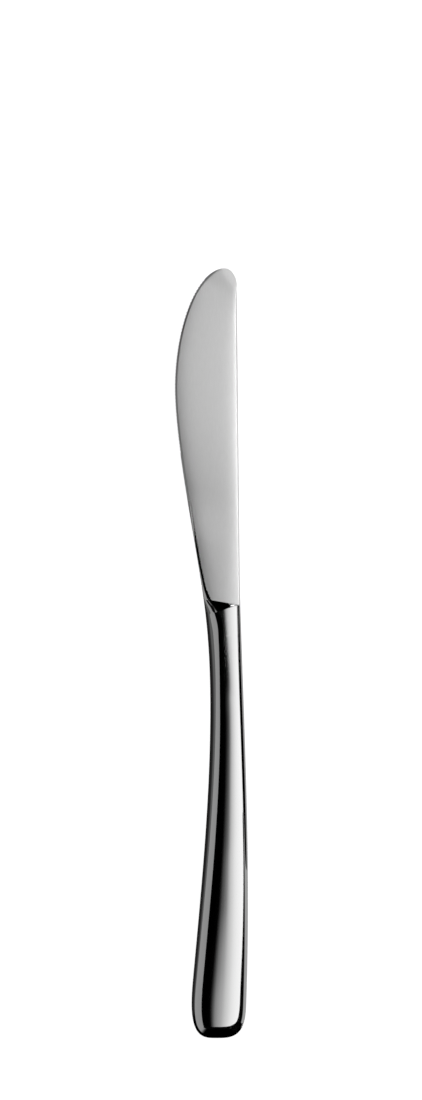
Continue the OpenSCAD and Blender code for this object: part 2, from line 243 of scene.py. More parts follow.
def squareness(y):
    if y < WAIST_Y:
        return lerp(BUTT_SQUARE, WAIST_SQUARE, ease(y / WAIST_Y))
    return lerp(WAIST_SQUARE, NECK_SQUARE, ease((y - WAIST_Y) / (HANDLE_LEN - WAIST_Y)))


def handle_point(y, s):
    left, right = flank_x(y), back_x(y)
    half = (right - left) / 2
    across, height = round_arc(s, squareness(y))
    corner = BUTT_CORNER_EDGE if across < 0 else BUTT_CORNER_BACK
    reach = half * max(BUTT_FLAT, rounded(y, corner, CORNER_POWER))
    rise = (crown(y) - LIP) * max(BUTT_FLAT, rounded(y, BUTT_ROLL, ROLL_POWER))
    return (left + right) / 2 + across * reach, y, LIP + rise * height


FACE_STEPS, BUTT_STEPS, BODY_STEPS = 72, 60, 110
STATIONS = [BUTT_CORNER_EDGE * (1 - math.cos(math.pi / 2 * k / BUTT_STEPS)) for k in range(BUTT_STEPS)]
STATIONS += [lerp(BUTT_CORNER_EDGE, MOUTH_Y, k / BODY_STEPS) for k in range(BODY_STEPS + 1)]
print(len(STATIONS), "stations along each shell")

# %% [markdown]
# ## Two half shells
#
# The handle is hollow: an upper and a lower shell, brazed rim to rim. Each is lofted as a skin, closed at
# the butt by one small face, and then given the sheet's thickness inwards by solidify. The lower one is
# the mirror image of the upper one.

# %% Half shells
def half_shell(name, node, side):
    bm = bmesh.new()
    sections = [
        [placed(x, y, side * z) for x, y, z in (handle_point(y, k / FACE_STEPS) for k in range(FACE_STEPS + 1))]
        for y in STATIONS
    ]
    rows = loft(bm, sections, closed=False)
    bmesh.ops.contextual_create(bm, geom=rows[0])
    bmesh.ops.recalc_face_normals(bm, faces=bm.faces)
    middle = max(bm.faces, key=lambda f: side * f.calc_center_median().z)
    if side * middle.normal.z < 0:
        bmesh.ops.reverse_faces(bm, faces=bm.faces)
    bmesh.ops.solidify(bm, geom=bm.faces[:], thickness=SHELL_WALL / 1000)
    return finish_piece(bm, name, node)


shell_front = half_shell("upper_shell", "handle_shell_front", 1)
shell_back = half_shell("lower_shell", "handle_shell_back", -1)

# %% [markdown]
# ## The blade's forging
#
# Blade, shoulder and bolster are one forging. Across it, every rib has the same build: a height that runs
# from the edge's side to the back, rolled over at both ends. On the blade the rolls are narrow, a ground
# bevel along the edge and rounded corners on the spine. On the handle each roll takes half of the width,
# which makes the handle's own section. Between the two, the roll on the edge's side narrows slowly along the
# heel, and the height drops over a short slanting shoulder.

# %% Shoulder lines
RISE_EDGE, RISE_SPINE, RISE_LEN, RISE_MIN, RISE_BEND = 1.9, 0.1, 4.0, 0.12, 1.5
RISE_BACK = 2.0


def rise_y(f):
    """Where the shoulder starts to rise from the blade, f from 0 at the edge to 1 at the spine."""
    return HANDLE_LEN + lerp(RISE_EDGE, RISE_SPINE, f)


def foot_y(f):
    """Where the shoulder has risen to the handle."""
    return rise_y(f) - RISE_MIN - RISE_LEN * (1 - f**RISE_BEND) ** RISE_BEND


print("shoulder", [round(rise_y(f) - foot_y(f), 2) for f in (0, 0.5, 1)], "mm long at edge, middle and spine")

# %% [markdown]
# The blade's faces aren't flat: they swell from the edge to the spine, are faintly domed and lift a little
# at the heel. The edge is blunt at the heel and the tip and ground keen between. Each section could be drawn
# by hand, but functions of the place serve any number of ribs.

# %% Faces and edge of the blade
FACE_SWELL, FACE_DOME, DOME_HEEL, DOME_TIP, DOME_RUN, DOME_END = 0.85, 0.22, 2.4, 6.0, 45.0, 14.0
HEEL_LIFT, LIFT_LEN = 0.5, 18.0
BLUNT_LEN, GRIND_RUN, TIP_BLUNT = 16.0, 16.0, 7.0


def blade_height(f, y, edge_h, spine_h):
    """Half the blade's thickness, f from 0 at the edge to 1 at the spine."""
    power = lerp(DOME_HEEL, DOME_TIP, ease((y - HANDLE_LEN) / DOME_RUN))
    dome = FACE_DOME * (1 - abs(2 * f - 1) ** power) * ease((OVERALL_LEN - y) / DOME_END)
    lift = HEEL_LIFT * min(max(1 - (y - HANDLE_LEN) / LIFT_LEN, 0.0), 1.0) ** 2
    return lerp(edge_h, spine_h, f**FACE_SWELL) + dome + lift


def heel_blunt(edge):
    """How blunt the edge is: 1 at the heel, 0 where it has been ground keen."""
    return 1 - ease((edge.y - HANDLE_LEN - BLUNT_LEN) / GRIND_RUN)


def tip_blunt(edge):
    """The same towards the tip, where the edge is dulled again."""
    return ease(1 - (CROWN - edge).length / TIP_BLUNT)


print("faces domed by", FACE_DOME, "mm and lifted by", HEEL_LIFT, "mm at the heel")

# %% [markdown]
# A rib could have evenly spaced points, but its narrow bevel and the spine's round corner would then be
# left coarse. So some points go to the bevel, most to the face and the rest to the corner.

# %% Points across a rib
BEVEL_END, FACE_END = 2 / 13, 10 / 13


def spread_over(s, bevel, corner):
    """Spreads a rib's points: some over the bevel, most over the face and the rest over the spine's corner."""
    if s < BEVEL_END:
        return bevel * s / BEVEL_END
    if s <= FACE_END:
        return lerp(bevel, 1 - corner, (s - BEVEL_END) / (FACE_END - BEVEL_END))
    return 1 - corner * (1 - math.sin(math.pi / 2 * (s - FACE_END) / (1 - FACE_END)))


print("share of points on the face:", round(FACE_END - BEVEL_END, 2))

# %% [markdown]
# One function gives any point of the forging, by blending the blade's rib into the handle's section. It also
# says how satin the steel is there, because the heel's roll, the shoulder and the bolster were polished
# together with the handle.

# %% Point of the forging
SPINE_T, TIP_T, SPINE_ROUND = 2.8, 1.4, 0.6
HEEL_T, EDGE_T, BEVEL_W, KEEN_T = 1.5, 0.6, 0.7, 0.12
FLANK_UP, PLAIN_LEN = 6.0, 1.0
FLANK_LEN = FLANK_UP + BOLSTER_LEN - PLAIN_LEN
HEEL_ROLL, ROLL_RUN, HEEL_DROP, RUNOUT_DROP = 1.2, 14.0, 0.19, 0.03
BEVEL_SHARE, ROUND_SHARE, HALF_WIDTH, CIRCLE = 0.2, 0.3, 0.5, 2
SATIN_FROM, SATIN_FADE, POLISH_REACH, POLISH_STEP = 0.95, 0.1, 3, 0.02


def forged_point(spot, risen, blunt, s, bite=0.0):
    """A point of a rib, s from 0 at the edge to 1 at the spine, as (x, y, z, share of satin).

    spot gives the plan of the rib, and risen says how far the shoulder has risen: 0 blade, 1 handle.
    """
    edge, spine = spot(0), spot(1)
    length = (spine - edge).length
    along = (spine.y - HANDLE_LEN) / (SPINE_END.y - HANDLE_LEN)
    spine_h = lerp(SPINE_T, TIP_T, min(max(along, 0.0), 1.0)) / 2
    edge_h = min(lerp(EDGE_T, HEEL_T, blunt) / 2, spine_h)
    flank = ease((HANDLE_LEN + FLANK_UP - edge.y) / FLANK_LEN)
    rolled = ease((HANDLE_LEN + ROLL_RUN - edge.y) / ROLL_RUN)
    bevel = min(lerp(BEVEL_W, HEEL_ROLL, rolled) / length, BEVEL_SHARE)
    corner = min(SPINE_ROUND / length, ROUND_SHARE)

    f = lerp(spread_over(s, bevel, corner), (1 + round_arc(s, squareness(edge.y))[0]) / 2, flank)
    f = max(f, bite / length)
    x, y = spot(f)
    face = blade_height(f, y, edge_h, spine_h)
    height = lerp(face, crown(y), risen)

    blunt_rim = face - lerp(RUNOUT_DROP, HEEL_DROP, rolled)
    edge_rim = lerp(lerp(KEEN_T / 2, blunt_rim, blunt), LIP, flank)
    back = 1 - (1 - risen) ** RISE_BACK
    spine_rim = lerp(blade_height(1, y, edge_h, spine_h) - min(SPINE_ROUND, corner * length), LIP, back)
    rim = lerp(edge_rim, spine_rim, f)
    roll = lerp(bevel, HALF_WIDTH, flank)
    edge_roll = rounded(f, roll, lerp(1 + blunt, squareness(y), flank))
    back_roll = rounded(1 - f, lerp(corner, HALF_WIDTH, back), lerp(CIRCLE, squareness(y), back))
    z = rim + (height - rim) * edge_roll * back_roll

    past_roll = ease((f / roll - SATIN_FROM) / SATIN_FADE)
    satin = lerp(1.0, past_roll, ease(POLISH_REACH * heel_blunt(edge))) * (1 - ease(risen / POLISH_STEP))
    return x, y, z, satin


print("the handle's section fades out", FLANK_UP, "mm up the heel")

# %% [markdown]
# The edge has a row of fine teeth, ground as shallow scallops with narrow lands between them. A boolean
# could cut them, but it leaves ragged faces. Here every scallop gets its own stations, and each rib is bitten
# back by the scallop's depth there, so the teeth are part of the loft.

# %% Stations along the edge
TOOTH_PITCH, TOOTH_DEPTH, TOOTH_LAND = 0.95, 0.16, 0.1
TEETH_FROM_HEEL, TEETH_FROM_TIP = 42.0, 6.0
CURVE_STEPS = 80
TIP_CLOSE = 0.97
RIB_LAG = (SPINE_END.y - TIP_ROUND_LEN / 2 - HANDLE_LEN) / (OVERALL_LEN - HANDLE_LEN)

edge_points = [bezier(HEEL_CURVE, k / CURVE_STEPS) for k in range(CURVE_STEPS + 1)]
edge_points += [bezier(BELLY_CURVE, k / CURVE_STEPS) for k in range(1, CURVE_STEPS + 1)]
edge_runs = [0.0]
for before, after in zip(edge_points, edge_points[1:]):
    edge_runs.append(edge_runs[-1] + (after - before).length)
EDGE_LEN = edge_runs[-1]


def edge_at(run):
    """The point of the edge at that length from the heel."""
    i = next(k for k in range(1, len(edge_runs)) if edge_runs[k] >= run or k == len(edge_runs) - 1)
    return edge_points[i - 1].lerp(edge_points[i], (run - edge_runs[i - 1]) / (edge_runs[i] - edge_runs[i - 1]))


TOOTH_COUNT = math.floor((EDGE_LEN - TEETH_FROM_HEEL - TEETH_FROM_TIP) / TOOTH_PITCH)
SCALLOP_HALF = (TOOTH_PITCH - TOOTH_LAND) / 2
SCALLOP_R = (SCALLOP_HALF**2 + TOOTH_DEPTH**2) / (2 * TOOTH_DEPTH)
SCALLOP_STEPS = 8
HEEL_ZONE, PLAIN_STEPS, END_STEPS = 5.0, 50, 16
toothed_end = TEETH_FROM_HEEL + TOOTH_COUNT * TOOTH_PITCH

runs = [(lerp(HEEL_ZONE, TEETH_FROM_HEEL, k / PLAIN_STEPS), 0.0) for k in range(1, PLAIN_STEPS + 1)]
for tooth in range(TOOTH_COUNT):
    middle = TEETH_FROM_HEEL + (tooth + 0.5) * TOOTH_PITCH
    for k in range(SCALLOP_STEPS + 1):
        offset = SCALLOP_HALF * (2 * k / SCALLOP_STEPS - 1)
        bite = math.sqrt(SCALLOP_R**2 - offset**2) - (SCALLOP_R - TOOTH_DEPTH)
        runs.append((middle + offset, max(bite, 0.0)))
runs += [(lerp(toothed_end, EDGE_LEN, k / END_STEPS), 0.0) for k in range(1, END_STEPS + 1)]
print(TOOTH_COUNT, "teeth on", round(EDGE_LEN, 1), "mm of edge")

# %% [markdown]
# Around the shoulder the ribs bend with it: one lies on the line where the shoulder leaves the blade and one
# on the line where it reaches the handle, so both stay crisp. Further up, each rib runs straight from the
# edge to the spine.

# %% Ribs from the joint to the tip
RIB_STEPS, BOLSTER_STEPS, SHOULDER_STEPS, HEEL_STEPS, TIP_STEPS = 52, 28, 16, 36, 24
heel_edge = edge_at(HEEL_ZONE)


def spine_foot(edge):
    y = lerp(HANDLE_LEN, edge.y, RIB_LAG)
    return Vector((spine_x(y), y))


def left_x(y):
    if y < HANDLE_LEN:
        return flank_x(y)
    i = next(k for k in range(1, len(edge_points)) if edge_points[k].y >= y)
    before, after = edge_points[i - 1], edge_points[i]
    return lerp(before.x, after.x, (y - before.y) / (after.y - before.y))


def right_x(y):
    return back_x(y) if y < HANDLE_LEN else spine_x(y)


def neck_plan(step):
    """Plan of a bent rib: step 0 to 1 along the bolster, to 2 up the shoulder and to 3 along the heel."""
    def spot(f):
        if step < 1:
            y = lerp(JOINT_Y, foot_y(f), step)
        elif step < 2:
            y = lerp(foot_y(f), rise_y(f), step - 1)
        else:
            y = lerp(rise_y(f), lerp(heel_edge.y, spine_foot(heel_edge).y, f), step - 2)
        return Vector((lerp(left_x(y), right_x(y), f), y))
    return spot


def rib(spot, risen, blunt, bite=0.0):
    """The whole closed section of the forging: over the upper face to the spine and back underneath."""
    half = [forged_point(spot, risen, blunt, k / RIB_STEPS, bite) for k in range(RIB_STEPS + 1)]
    satin_rows.append([point[3] for point in half + half[::-1]])
    return [placed(x, y, z) for x, y, z, _ in half] + [placed(x, y, -z) for x, y, z, _ in reversed(half)]


print("bolster, shoulder and heel take", BOLSTER_STEPS + SHOULDER_STEPS + HEEL_STEPS + 1, "ribs")

# %% [markdown]
# Now all ribs are laid out in one row: up the bolster, the shoulder and the heel, past the teeth, and round
# the tip, where the edge turns into the spine.

# %% All ribs of the forging
ribs, satin_rows = [], []
neck_steps = [k / BOLSTER_STEPS for k in range(BOLSTER_STEPS)]
neck_steps += [1 + k / SHOULDER_STEPS for k in range(SHOULDER_STEPS)]
neck_steps += [2 + k / HEEL_STEPS for k in range(HEEL_STEPS + 1)]
for step in neck_steps:
    spot = neck_plan(step)
    ribs.append(rib(spot, min(max(2 - step, 0.0), 1.0), heel_blunt(spot(0))))
for run, bite in runs:
    edge = edge_at(run)
    blunt = max(heel_blunt(edge), tip_blunt(edge))
    ribs.append(rib(lambda f: edge.lerp(spine_foot(edge), f), 0.0, blunt, bite))
last_foot = spine_foot(edge)
for k in range(1, TIP_STEPS + 1):
    t = TIP_CLOSE * k / TIP_STEPS
    edge = bezier(TIP_CURVE, t)
    foot_end = lerp(last_foot.y, SPINE_END.y, t)
    foot = Vector((spine_x(foot_end), foot_end))
    ribs.append(rib(lambda f: edge.lerp(foot, f), 0.0, 1.0))
print(len(ribs), "ribs")

# %% [markdown]
# The forging is lofted through its ribs and closed with a face at each end. It stops at the joint, since the
# spigot and the tang behind it are hidden in the handle. Each vertex keeps its share of satin, for the
# material to read.

# %% Blade piece
bm = bmesh.new()
satin_layer = bm.verts.layers.float.new("satin")
rows = loft(bm, ribs, closed=True)
for row, shares in zip(rows, satin_rows):
    for vert, share in zip(row, shares):
        vert[satin_layer] = share
bmesh.ops.contextual_create(bm, geom=rows[0])
bmesh.ops.contextual_create(bm, geom=rows[-1])
blade = finish_piece(bm, "satin_blade", "blade")

# %% [markdown]
# ## Brazing
#
# A ribbon of braze joins the shells' rims, and a thin ring of it joins their mouth to the bolster. Both
# were polished flush. The ribbon is the shells' own rim, extruded up through the seam, and the ring is
# the mouth's section, extruded to the bolster; solidify gives both the depth of the wall.

# %% Brazing pieces
def ribbon(name, node, low, high, closed):
    bm = bmesh.new()
    loft(bm, [low, high], closed)
    bmesh.ops.recalc_face_normals(bm, faces=bm.faces)
    centre = sum((v.co for v in bm.verts), Vector()) / len(bm.verts)
    outward = sum((f.normal.dot(f.calc_center_median() - centre) for f in bm.faces))
    if outward < 0:
        bmesh.ops.reverse_faces(bm, faces=bm.faces)
    bmesh.ops.solidify(bm, geom=bm.faces[:], thickness=SHELL_WALL / 1000)
    return finish_piece(bm, name, node)


rim = [handle_point(y, 0) for y in reversed(STATIONS)] + [handle_point(y, 1) for y in STATIONS]
seam = ribbon(
    "seam_ribbon",
    "seam_braze",
    [placed(x, y, -LIP) for x, y, z in rim],
    [placed(x, y, LIP) for x, y, z in rim],
    closed=False,
)

mouth = [handle_point(MOUTH_Y, k / FACE_STEPS) for k in range(FACE_STEPS + 1)]
mouth += [(x, y, -z) for x, y, z in reversed(mouth)]
collar = ribbon(
    "collar_ring",
    "collar_braze",
    [placed(x, MOUTH_Y, z) for x, y, z in mouth],
    [placed(x, JOINT_Y, z) for x, y, z in mouth],
    closed=True,
)

# %% [markdown]
# ## Steel, braze and cement
#
# Polished steel is metal with almost no roughness, broken only by faint smudges and hairlines from the
# mop. The blade is satin: the same metal with a rougher, very fine grain. All patterns read Object
# coordinates, so they stay put on each piece.

# %% Material helpers
def grey(value):
    return value, value, value, 1


def new_material(name):
    """A material with a Principled shader, and a maker of further nodes."""
    material = bpy.data.materials.new(name)
    material.use_nodes = True
    tree = material.node_tree

    def add(kind, **settings):
        node = tree.nodes.new(kind)
        for key, value in settings.items():
            setattr(node, key, value)
        return node

    return material, tree, tree.nodes["Principled BSDF"], add


def grain(tree, add, scale, detail, stretch):
    """Noise on Object coordinates, stretched along the knife's axes."""
    place = add("ShaderNodeTexCoord")
    mapping = add("ShaderNodeMapping")
    mapping.inputs["Scale"].default_value = stretch
    noise = add("ShaderNodeTexNoise")
    noise.inputs["Scale"].default_value = scale
    noise.inputs["Detail"].default_value = detail
    tree.links.new(place.outputs["Object"], mapping.inputs["Vector"])
    tree.links.new(mapping.outputs["Vector"], noise.inputs["Vector"])
    return noise


def spread(tree, add, source, low, high):
    """Maps a 0..1 pattern to a range."""
    ranged = add("ShaderNodeMapRange")
    ranged.inputs["To Min"].default_value = low
    ranged.inputs["To Max"].default_value = high
    tree.links.new(source, ranged.inputs["Value"])
    return ranged.outputs["Result"]


def tinted(tree, add, source, dark, light):
    """Mixes two colours by a 0..1 pattern."""
    tint = add("ShaderNodeMix", data_type="RGBA")
    tint.inputs["A"].default_value = dark
    tint.inputs["B"].default_value = light
    tree.links.new(source, tint.inputs["Factor"])
    return tint.outputs["Result"]


def bumped(tree, add, source, strength, distance, shader):
    bump = add("ShaderNodeBump")
    bump.inputs["Strength"].default_value = strength
    bump.inputs["Distance"].default_value = distance
    tree.links.new(source, bump.inputs["Height"])
    tree.links.new(bump.outputs["Normal"], shader.inputs["Normal"])


print("material helpers ready")

# %% [markdown]
# The handle, the collar, the shoulder and the bolster are mirror bright. A flat roughness would look like
# plastic film, so faint smudges vary it and hairlines run along the knife.

# %% Polished steel
polished, tree, shader, add = new_material("polished_steel")
shader.inputs["Metallic"].default_value = 1.0
smudge = grain(tree, add, scale=70.0, detail=3.0, stretch=(1.0, 0.4, 1.0)).outputs["Fac"]
tree.links.new(tinted(tree, add, smudge, grey(0.70), grey(0.74)), shader.inputs["Base Color"])
tree.links.new(spread(tree, add, smudge, low=0.03, high=0.07), shader.inputs["Roughness"])
hairline = grain(tree, add, scale=900.0, detail=2.0, stretch=(4.0, 0.15, 4.0)).outputs["Fac"]
bumped(tree, add, hairline, strength=0.02, distance=0.00002, shader=shader)
print("material", polished.name)

# %% [markdown]
# The blade was brushed to a satin. Two materials would leave a hard line at the shoulder, so one material
# blends from satin to polish by the share that each vertex keeps.

# %% Satin steel
SATIN_ROUGH, POLISH_ROUGH = 0.36, 0.05
satin, tree, shader, add = new_material("satin_steel")
shader.inputs["Metallic"].default_value = 1.0
brushed = grain(tree, add, scale=2500.0, detail=3.0, stretch=(1.0, 0.2, 1.0)).outputs["Fac"]
share = add("ShaderNodeAttribute", attribute_name="satin").outputs["Fac"]
colour = add("ShaderNodeMix", data_type="RGBA")
colour.inputs["A"].default_value = grey(0.72)
tree.links.new(share, colour.inputs["Factor"])
tree.links.new(tinted(tree, add, brushed, grey(0.60), grey(0.66)), colour.inputs["B"])
tree.links.new(colour.outputs["Result"], shader.inputs["Base Color"])
uneven = add("ShaderNodeMath", operation="MULTIPLY")
tree.links.new(spread(tree, add, share, low=POLISH_ROUGH, high=SATIN_ROUGH), uneven.inputs[0])
tree.links.new(spread(tree, add, brushed, low=0.9, high=1.1), uneven.inputs[1])
tree.links.new(uneven.outputs["Value"], shader.inputs["Roughness"])
bumped(tree, add, brushed, strength=0.03, distance=0.00002, shader=shader)
print("material", satin.name)

# %% [markdown]
# Silver braze is a little warmer than the steel. The cement inside is sandy and matte; no view shows it, but
# the model keeps it.

# %% Braze and cement
braze, tree, shader, add = new_material("silver_braze")
shader.inputs["Metallic"].default_value = 1.0
shader.inputs["Base Color"].default_value = (0.70, 0.69, 0.66, 1)
flow = grain(tree, add, scale=800.0, detail=3.0, stretch=(1.0, 1.0, 1.0)).outputs["Fac"]
tree.links.new(spread(tree, add, flow, low=0.05, high=0.12), shader.inputs["Roughness"])

cement, tree, shader, add = new_material("handle_cement")
sand = grain(tree, add, scale=1500.0, detail=5.0, stretch=(1.0, 1.0, 1.0)).outputs["Fac"]
sandy = tinted(tree, add, sand, (0.40, 0.37, 0.32, 1), (0.52, 0.49, 0.44, 1))
tree.links.new(sandy, shader.inputs["Base Color"])
shader.inputs["Roughness"].default_value = 0.9
bumped(tree, add, sand, strength=0.4, distance=0.0002, shader=shader)

for piece, material in (
    (blade, satin), (shell_front, polished), (shell_back, polished),
    (seam, braze), (collar, polished), (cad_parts["tang_cement"], cement),
):
    piece.data.materials.clear()
    piece.data.materials.append(material)
print("materials on all pieces")

# %% [markdown]
# ## The studio
#
# Polished steel shows nothing of its own: what we see is the studio in it. So the knife lies among cards, as
# on a photographer's table: softboxes overhead, boards at the sides, cloths on the table, walls beyond both
# ends and one small black flag. All of them are only there for reflections, so the camera looks past them to
# a plain white floor.

# %% Card maker
def stand(name, bm, material, hidden):
    """Puts a mesh in the studio. A hidden one is seen by reflections only."""
    mesh = bpy.data.meshes.new(name)
    bm.to_mesh(mesh)
    bm.free()
    mesh.materials.append(material)
    obj = bpy.data.objects.new(name, mesh)
    bpy.context.scene.collection.objects.link(obj)
    if hidden:
        obj.visible_camera = False
        obj.visible_diffuse = False
        obj.visible_shadow = False
        obj.visible_transmission = False
    print(name, "stands in the studio")


def card(name, corners, build):
    """A flat glowing card for reflections. build sets the strength of its glow."""
    bm = bmesh.new()
    bmesh.ops.contextual_create(bm, geom=[bm.verts.new(Vector(c)) for c in corners])
    material = bpy.data.materials.new(name)
    material.use_nodes = True
    tree = material.node_tree
    tree.nodes.clear()
    glow = tree.nodes.new("ShaderNodeEmission")
    out = tree.nodes.new("ShaderNodeOutputMaterial")
    tree.links.new(glow.outputs["Emission"], out.inputs["Surface"])
    build(tree, glow)
    stand(name, bm, material, hidden=True)


def flat_card(name, height, plan, build):
    card(name, [(x, y, height) for x, y in plan], build)


def side_card(name, x, plan, build):
    card(name, [(x, y, z) for y, z in plan], build)


def end_card(name, y, plan, build):
    card(name, [(x, y, z) for x, z in plan], build)


def rectangle(left, right, low, high):
    return [(left, low), (right, low), (right, high), (left, high)]


# %% [markdown]
# A softbox is brighter in its middle than at its rim, and a cloth fades with distance. A card's glow could be
# painted, but a curve through a few stops, read along one axis or beside a bent line, is enough.

# %% Glow of a card
def even(strength):
    def build(tree, glow):
        glow.inputs["Strength"].default_value = strength
    return build


def along(axis):
    """Measures a card along X, Y or Z."""
    def measure(tree):
        place = tree.nodes.new("ShaderNodeTexCoord")
        split = tree.nodes.new("ShaderNodeSeparateXYZ")
        tree.links.new(place.outputs["Object"], split.inputs["Vector"])
        return split.outputs[axis]
    return measure


def calculate(tree, operation, first, second):
    """A math operation on two outputs, or on an output and a number."""
    node = tree.nodes.new("ShaderNodeMath")
    node.operation = operation
    tree.links.new(first, node.inputs[0])
    if isinstance(second, float):
        node.inputs[1].default_value = second
    else:
        tree.links.new(second, node.inputs[1])
    return node.outputs["Value"]


def read_off(tree, stops, source):
    """Reads a value off a smooth curve through stops of (place, value)."""
    low, high = stops[0][0], stops[-1][0]
    least, most = min(value for _, value in stops), max(value for _, value in stops)
    reach = tree.nodes.new("ShaderNodeMapRange")
    reach.inputs["From Min"].default_value = low
    reach.inputs["From Max"].default_value = high
    tree.links.new(source, reach.inputs["Value"])
    curve = tree.nodes.new("ShaderNodeFloatCurve")
    points = curve.mapping.curves[0].points
    for k, (where, value) in enumerate(stops):
        spot = ((where - low) / (high - low), (value - least) / (most - least))
        if k in (0, len(stops) - 1):
            points[0 if k == 0 else len(points) - 1].location = spot
        else:
            points.new(*spot)
    for point in points:
        point.handle_type = "AUTO_CLAMPED"
    curve.mapping.update()
    tree.links.new(reach.outputs["Result"], curve.inputs["Value"])
    scaled = calculate(tree, "MULTIPLY", curve.outputs["Value"], most - least)
    return calculate(tree, "ADD", scaled, least)


# %% [markdown]
# The overhead softbox is bent along the knife, so its glow is measured beside a bent line, in widths that
# change along Y.

# %% Glow beside a bent line
def beside(line, width):
    """Measures how far a point lies beside a bent line, over a width; both are curves along Y."""
    def measure(tree):
        y = along("Y")(tree)
        offset = calculate(tree, "SUBTRACT", along("X")(tree), read_off(tree, line, y))
        return calculate(tree, "DIVIDE", offset, read_off(tree, width, y))
    return measure


def graded(stops, measure):
    """Strength from stops of (measure, strength)."""
    def build(tree, glow):
        tree.links.new(read_off(tree, stops, measure(tree)), glow.inputs["Strength"])
    return build


print("glow helpers ready")

# %% [markdown]
# Three softboxes hang over the knife. The fan-shaped one makes the long grey ramp on the handle, from black
# on the edge's side to white on the back. The small one over the heel and the larger one over the blade
# make the blade's slow ramp.

# %% Fan softbox
TOP, SPLIT_Y = 0.40, 0.03
FAN_LINE = [
    (-0.285, -0.068), (-0.155, -0.0685), (-0.138, -0.065), (-0.12, -0.0565), (-0.105, -0.05), (-0.085, -0.0515),
    (-0.06, -0.056), (-0.04, -0.0585), (-0.025, -0.067), (-0.015, -0.063), (0.0, -0.052), (0.03, -0.036),
    (0.25, -0.036),
]
FAN_WIDTH = [
    (-0.285, 0.125), (-0.155, 0.125), (-0.138, 0.132), (-0.12, 0.131), (-0.105, 0.1295), (-0.089, 0.15),
    (-0.073, 0.1705), (-0.057, 0.198), (-0.0405, 0.232), (-0.025, 0.248), (-0.0163, 0.24), (-0.008, 0.235),
    (0.0, 0.25), (0.25, 0.27),
]
FAN = [
    (-0.2, 0.0), (0.14, 0.001), (0.2, 0.008), (0.25, 0.02), (0.3, 0.045), (0.35, 0.08), (0.4, 0.13), (0.45, 0.2),
    (0.5, 0.29), (0.55, 0.39), (0.6, 0.48), (0.7, 0.62), (0.8, 0.73), (0.9, 0.8), (1.1, 0.905), (1.3, 1.0),
    (1.54, 1.07), (1.83, 1.12), (2.2, 1.17), (2.7, 1.2), (4.0, 1.27),
]
FAN_PLAN = [
    (-0.2, -0.285), (0.13, -0.285), (0.4, -0.23), (0.5, -0.19), (1.5, -0.18), (1.5, 0.25), (0.4, 0.25),
    (0.4, 0.08), (0.1, 0.045), (0.02, SPLIT_Y), (-0.2, SPLIT_Y),
]
flat_card("fan_softbox", TOP, FAN_PLAN, graded(FAN, beside(FAN_LINE, FAN_WIDTH)))

# %% Softboxes over the heel and the blade
FAR_Y, NEXT_Y = 0.085, 0.11
HEEL_PLAN = [
    (-0.03, SPLIT_Y), (0.02, SPLIT_Y), (0.1, 0.045), (0.4, 0.08), (0.4, FAR_Y), (-0.3, FAR_Y), (-0.1, 0.055),
    (-0.03, 0.045),
]
HEEL_GLOW = [(-0.3, 0.7), (-0.1, 1.25), (-0.03, 1.75), (0.0, 2.1), (0.05, 3.8), (0.12, 7.4), (0.4, 9.5)]
flat_card("heel_softbox", TOP, HEEL_PLAN, graded(HEEL_GLOW, along("X")))

BLADE_PLAN = [
    (0.4, NEXT_Y), (0.4, 0.45), (0.12, 0.45), (0.0, 0.4), (-0.05, 0.4), (-0.2, 0.26), (-0.35, 0.18),
    (-0.35, NEXT_Y),
]
BLADE_GLOW = [(-0.35, 0.52), (-0.1, 0.655), (0.0, 0.8), (0.05, 1.04), (0.1, 1.42), (0.4, 2.5)]
flat_card("blade_softbox", TOP, BLADE_PLAN, graded(BLADE_GLOW, along("X")))

# %% [markdown]
# Boards stand beside the knife: a light one far to the right, a grey and a dim one on the left, which give
# the grey band along the handle's edge, and a low one to the right of the butt.

# %% Boards at the sides
SIDE_X, LEFT_X, BEHIND_X, RIGHT_X = 1.5, -0.24, -0.241, 0.25
BUTT_Y, BOARD_TOP = -0.06, 0.075
side_card("side_board", SIDE_X, [(-0.18, TOP), (0.25, TOP), (0.25, 0.2), (-0.168, 0.2)], even(1.2))
GREY_PLAN = [
    (-0.35, TOP), (0.14, TOP), (0.14, 0.13), (0.0, 0.13), (-0.13, 0.03), (-0.2, 0.005), (-0.35, 0.005),
]
side_card("grey_board", LEFT_X, GREY_PLAN, graded([(0.0, 0.39), (TOP, 0.35)], along("Z")))
DIM_GLOW = [(0.0, 0.08), (0.03, 0.13), (0.2, 0.15)]
side_card("dim_board", BEHIND_X, rectangle(-0.35, 0.1, 0.2, 0.0), graded(DIM_GLOW, along("Z")))
LOW_GLOW = [(0.0, 0.45), (0.015, 0.3), (0.03, 0.05), (0.045, 0.0), (BOARD_TOP, 0.0)]
side_card("butt_board", RIGHT_X, rectangle(-0.2, BUTT_Y, 0.0, BOARD_TOP), graded(LOW_GLOW, along("Z")))

# %% [markdown]
# The rolled sides of the handle look down at the table. Cloths on it, a hair above the floor, make them dark
# on the edge's side and grey or light on the back.

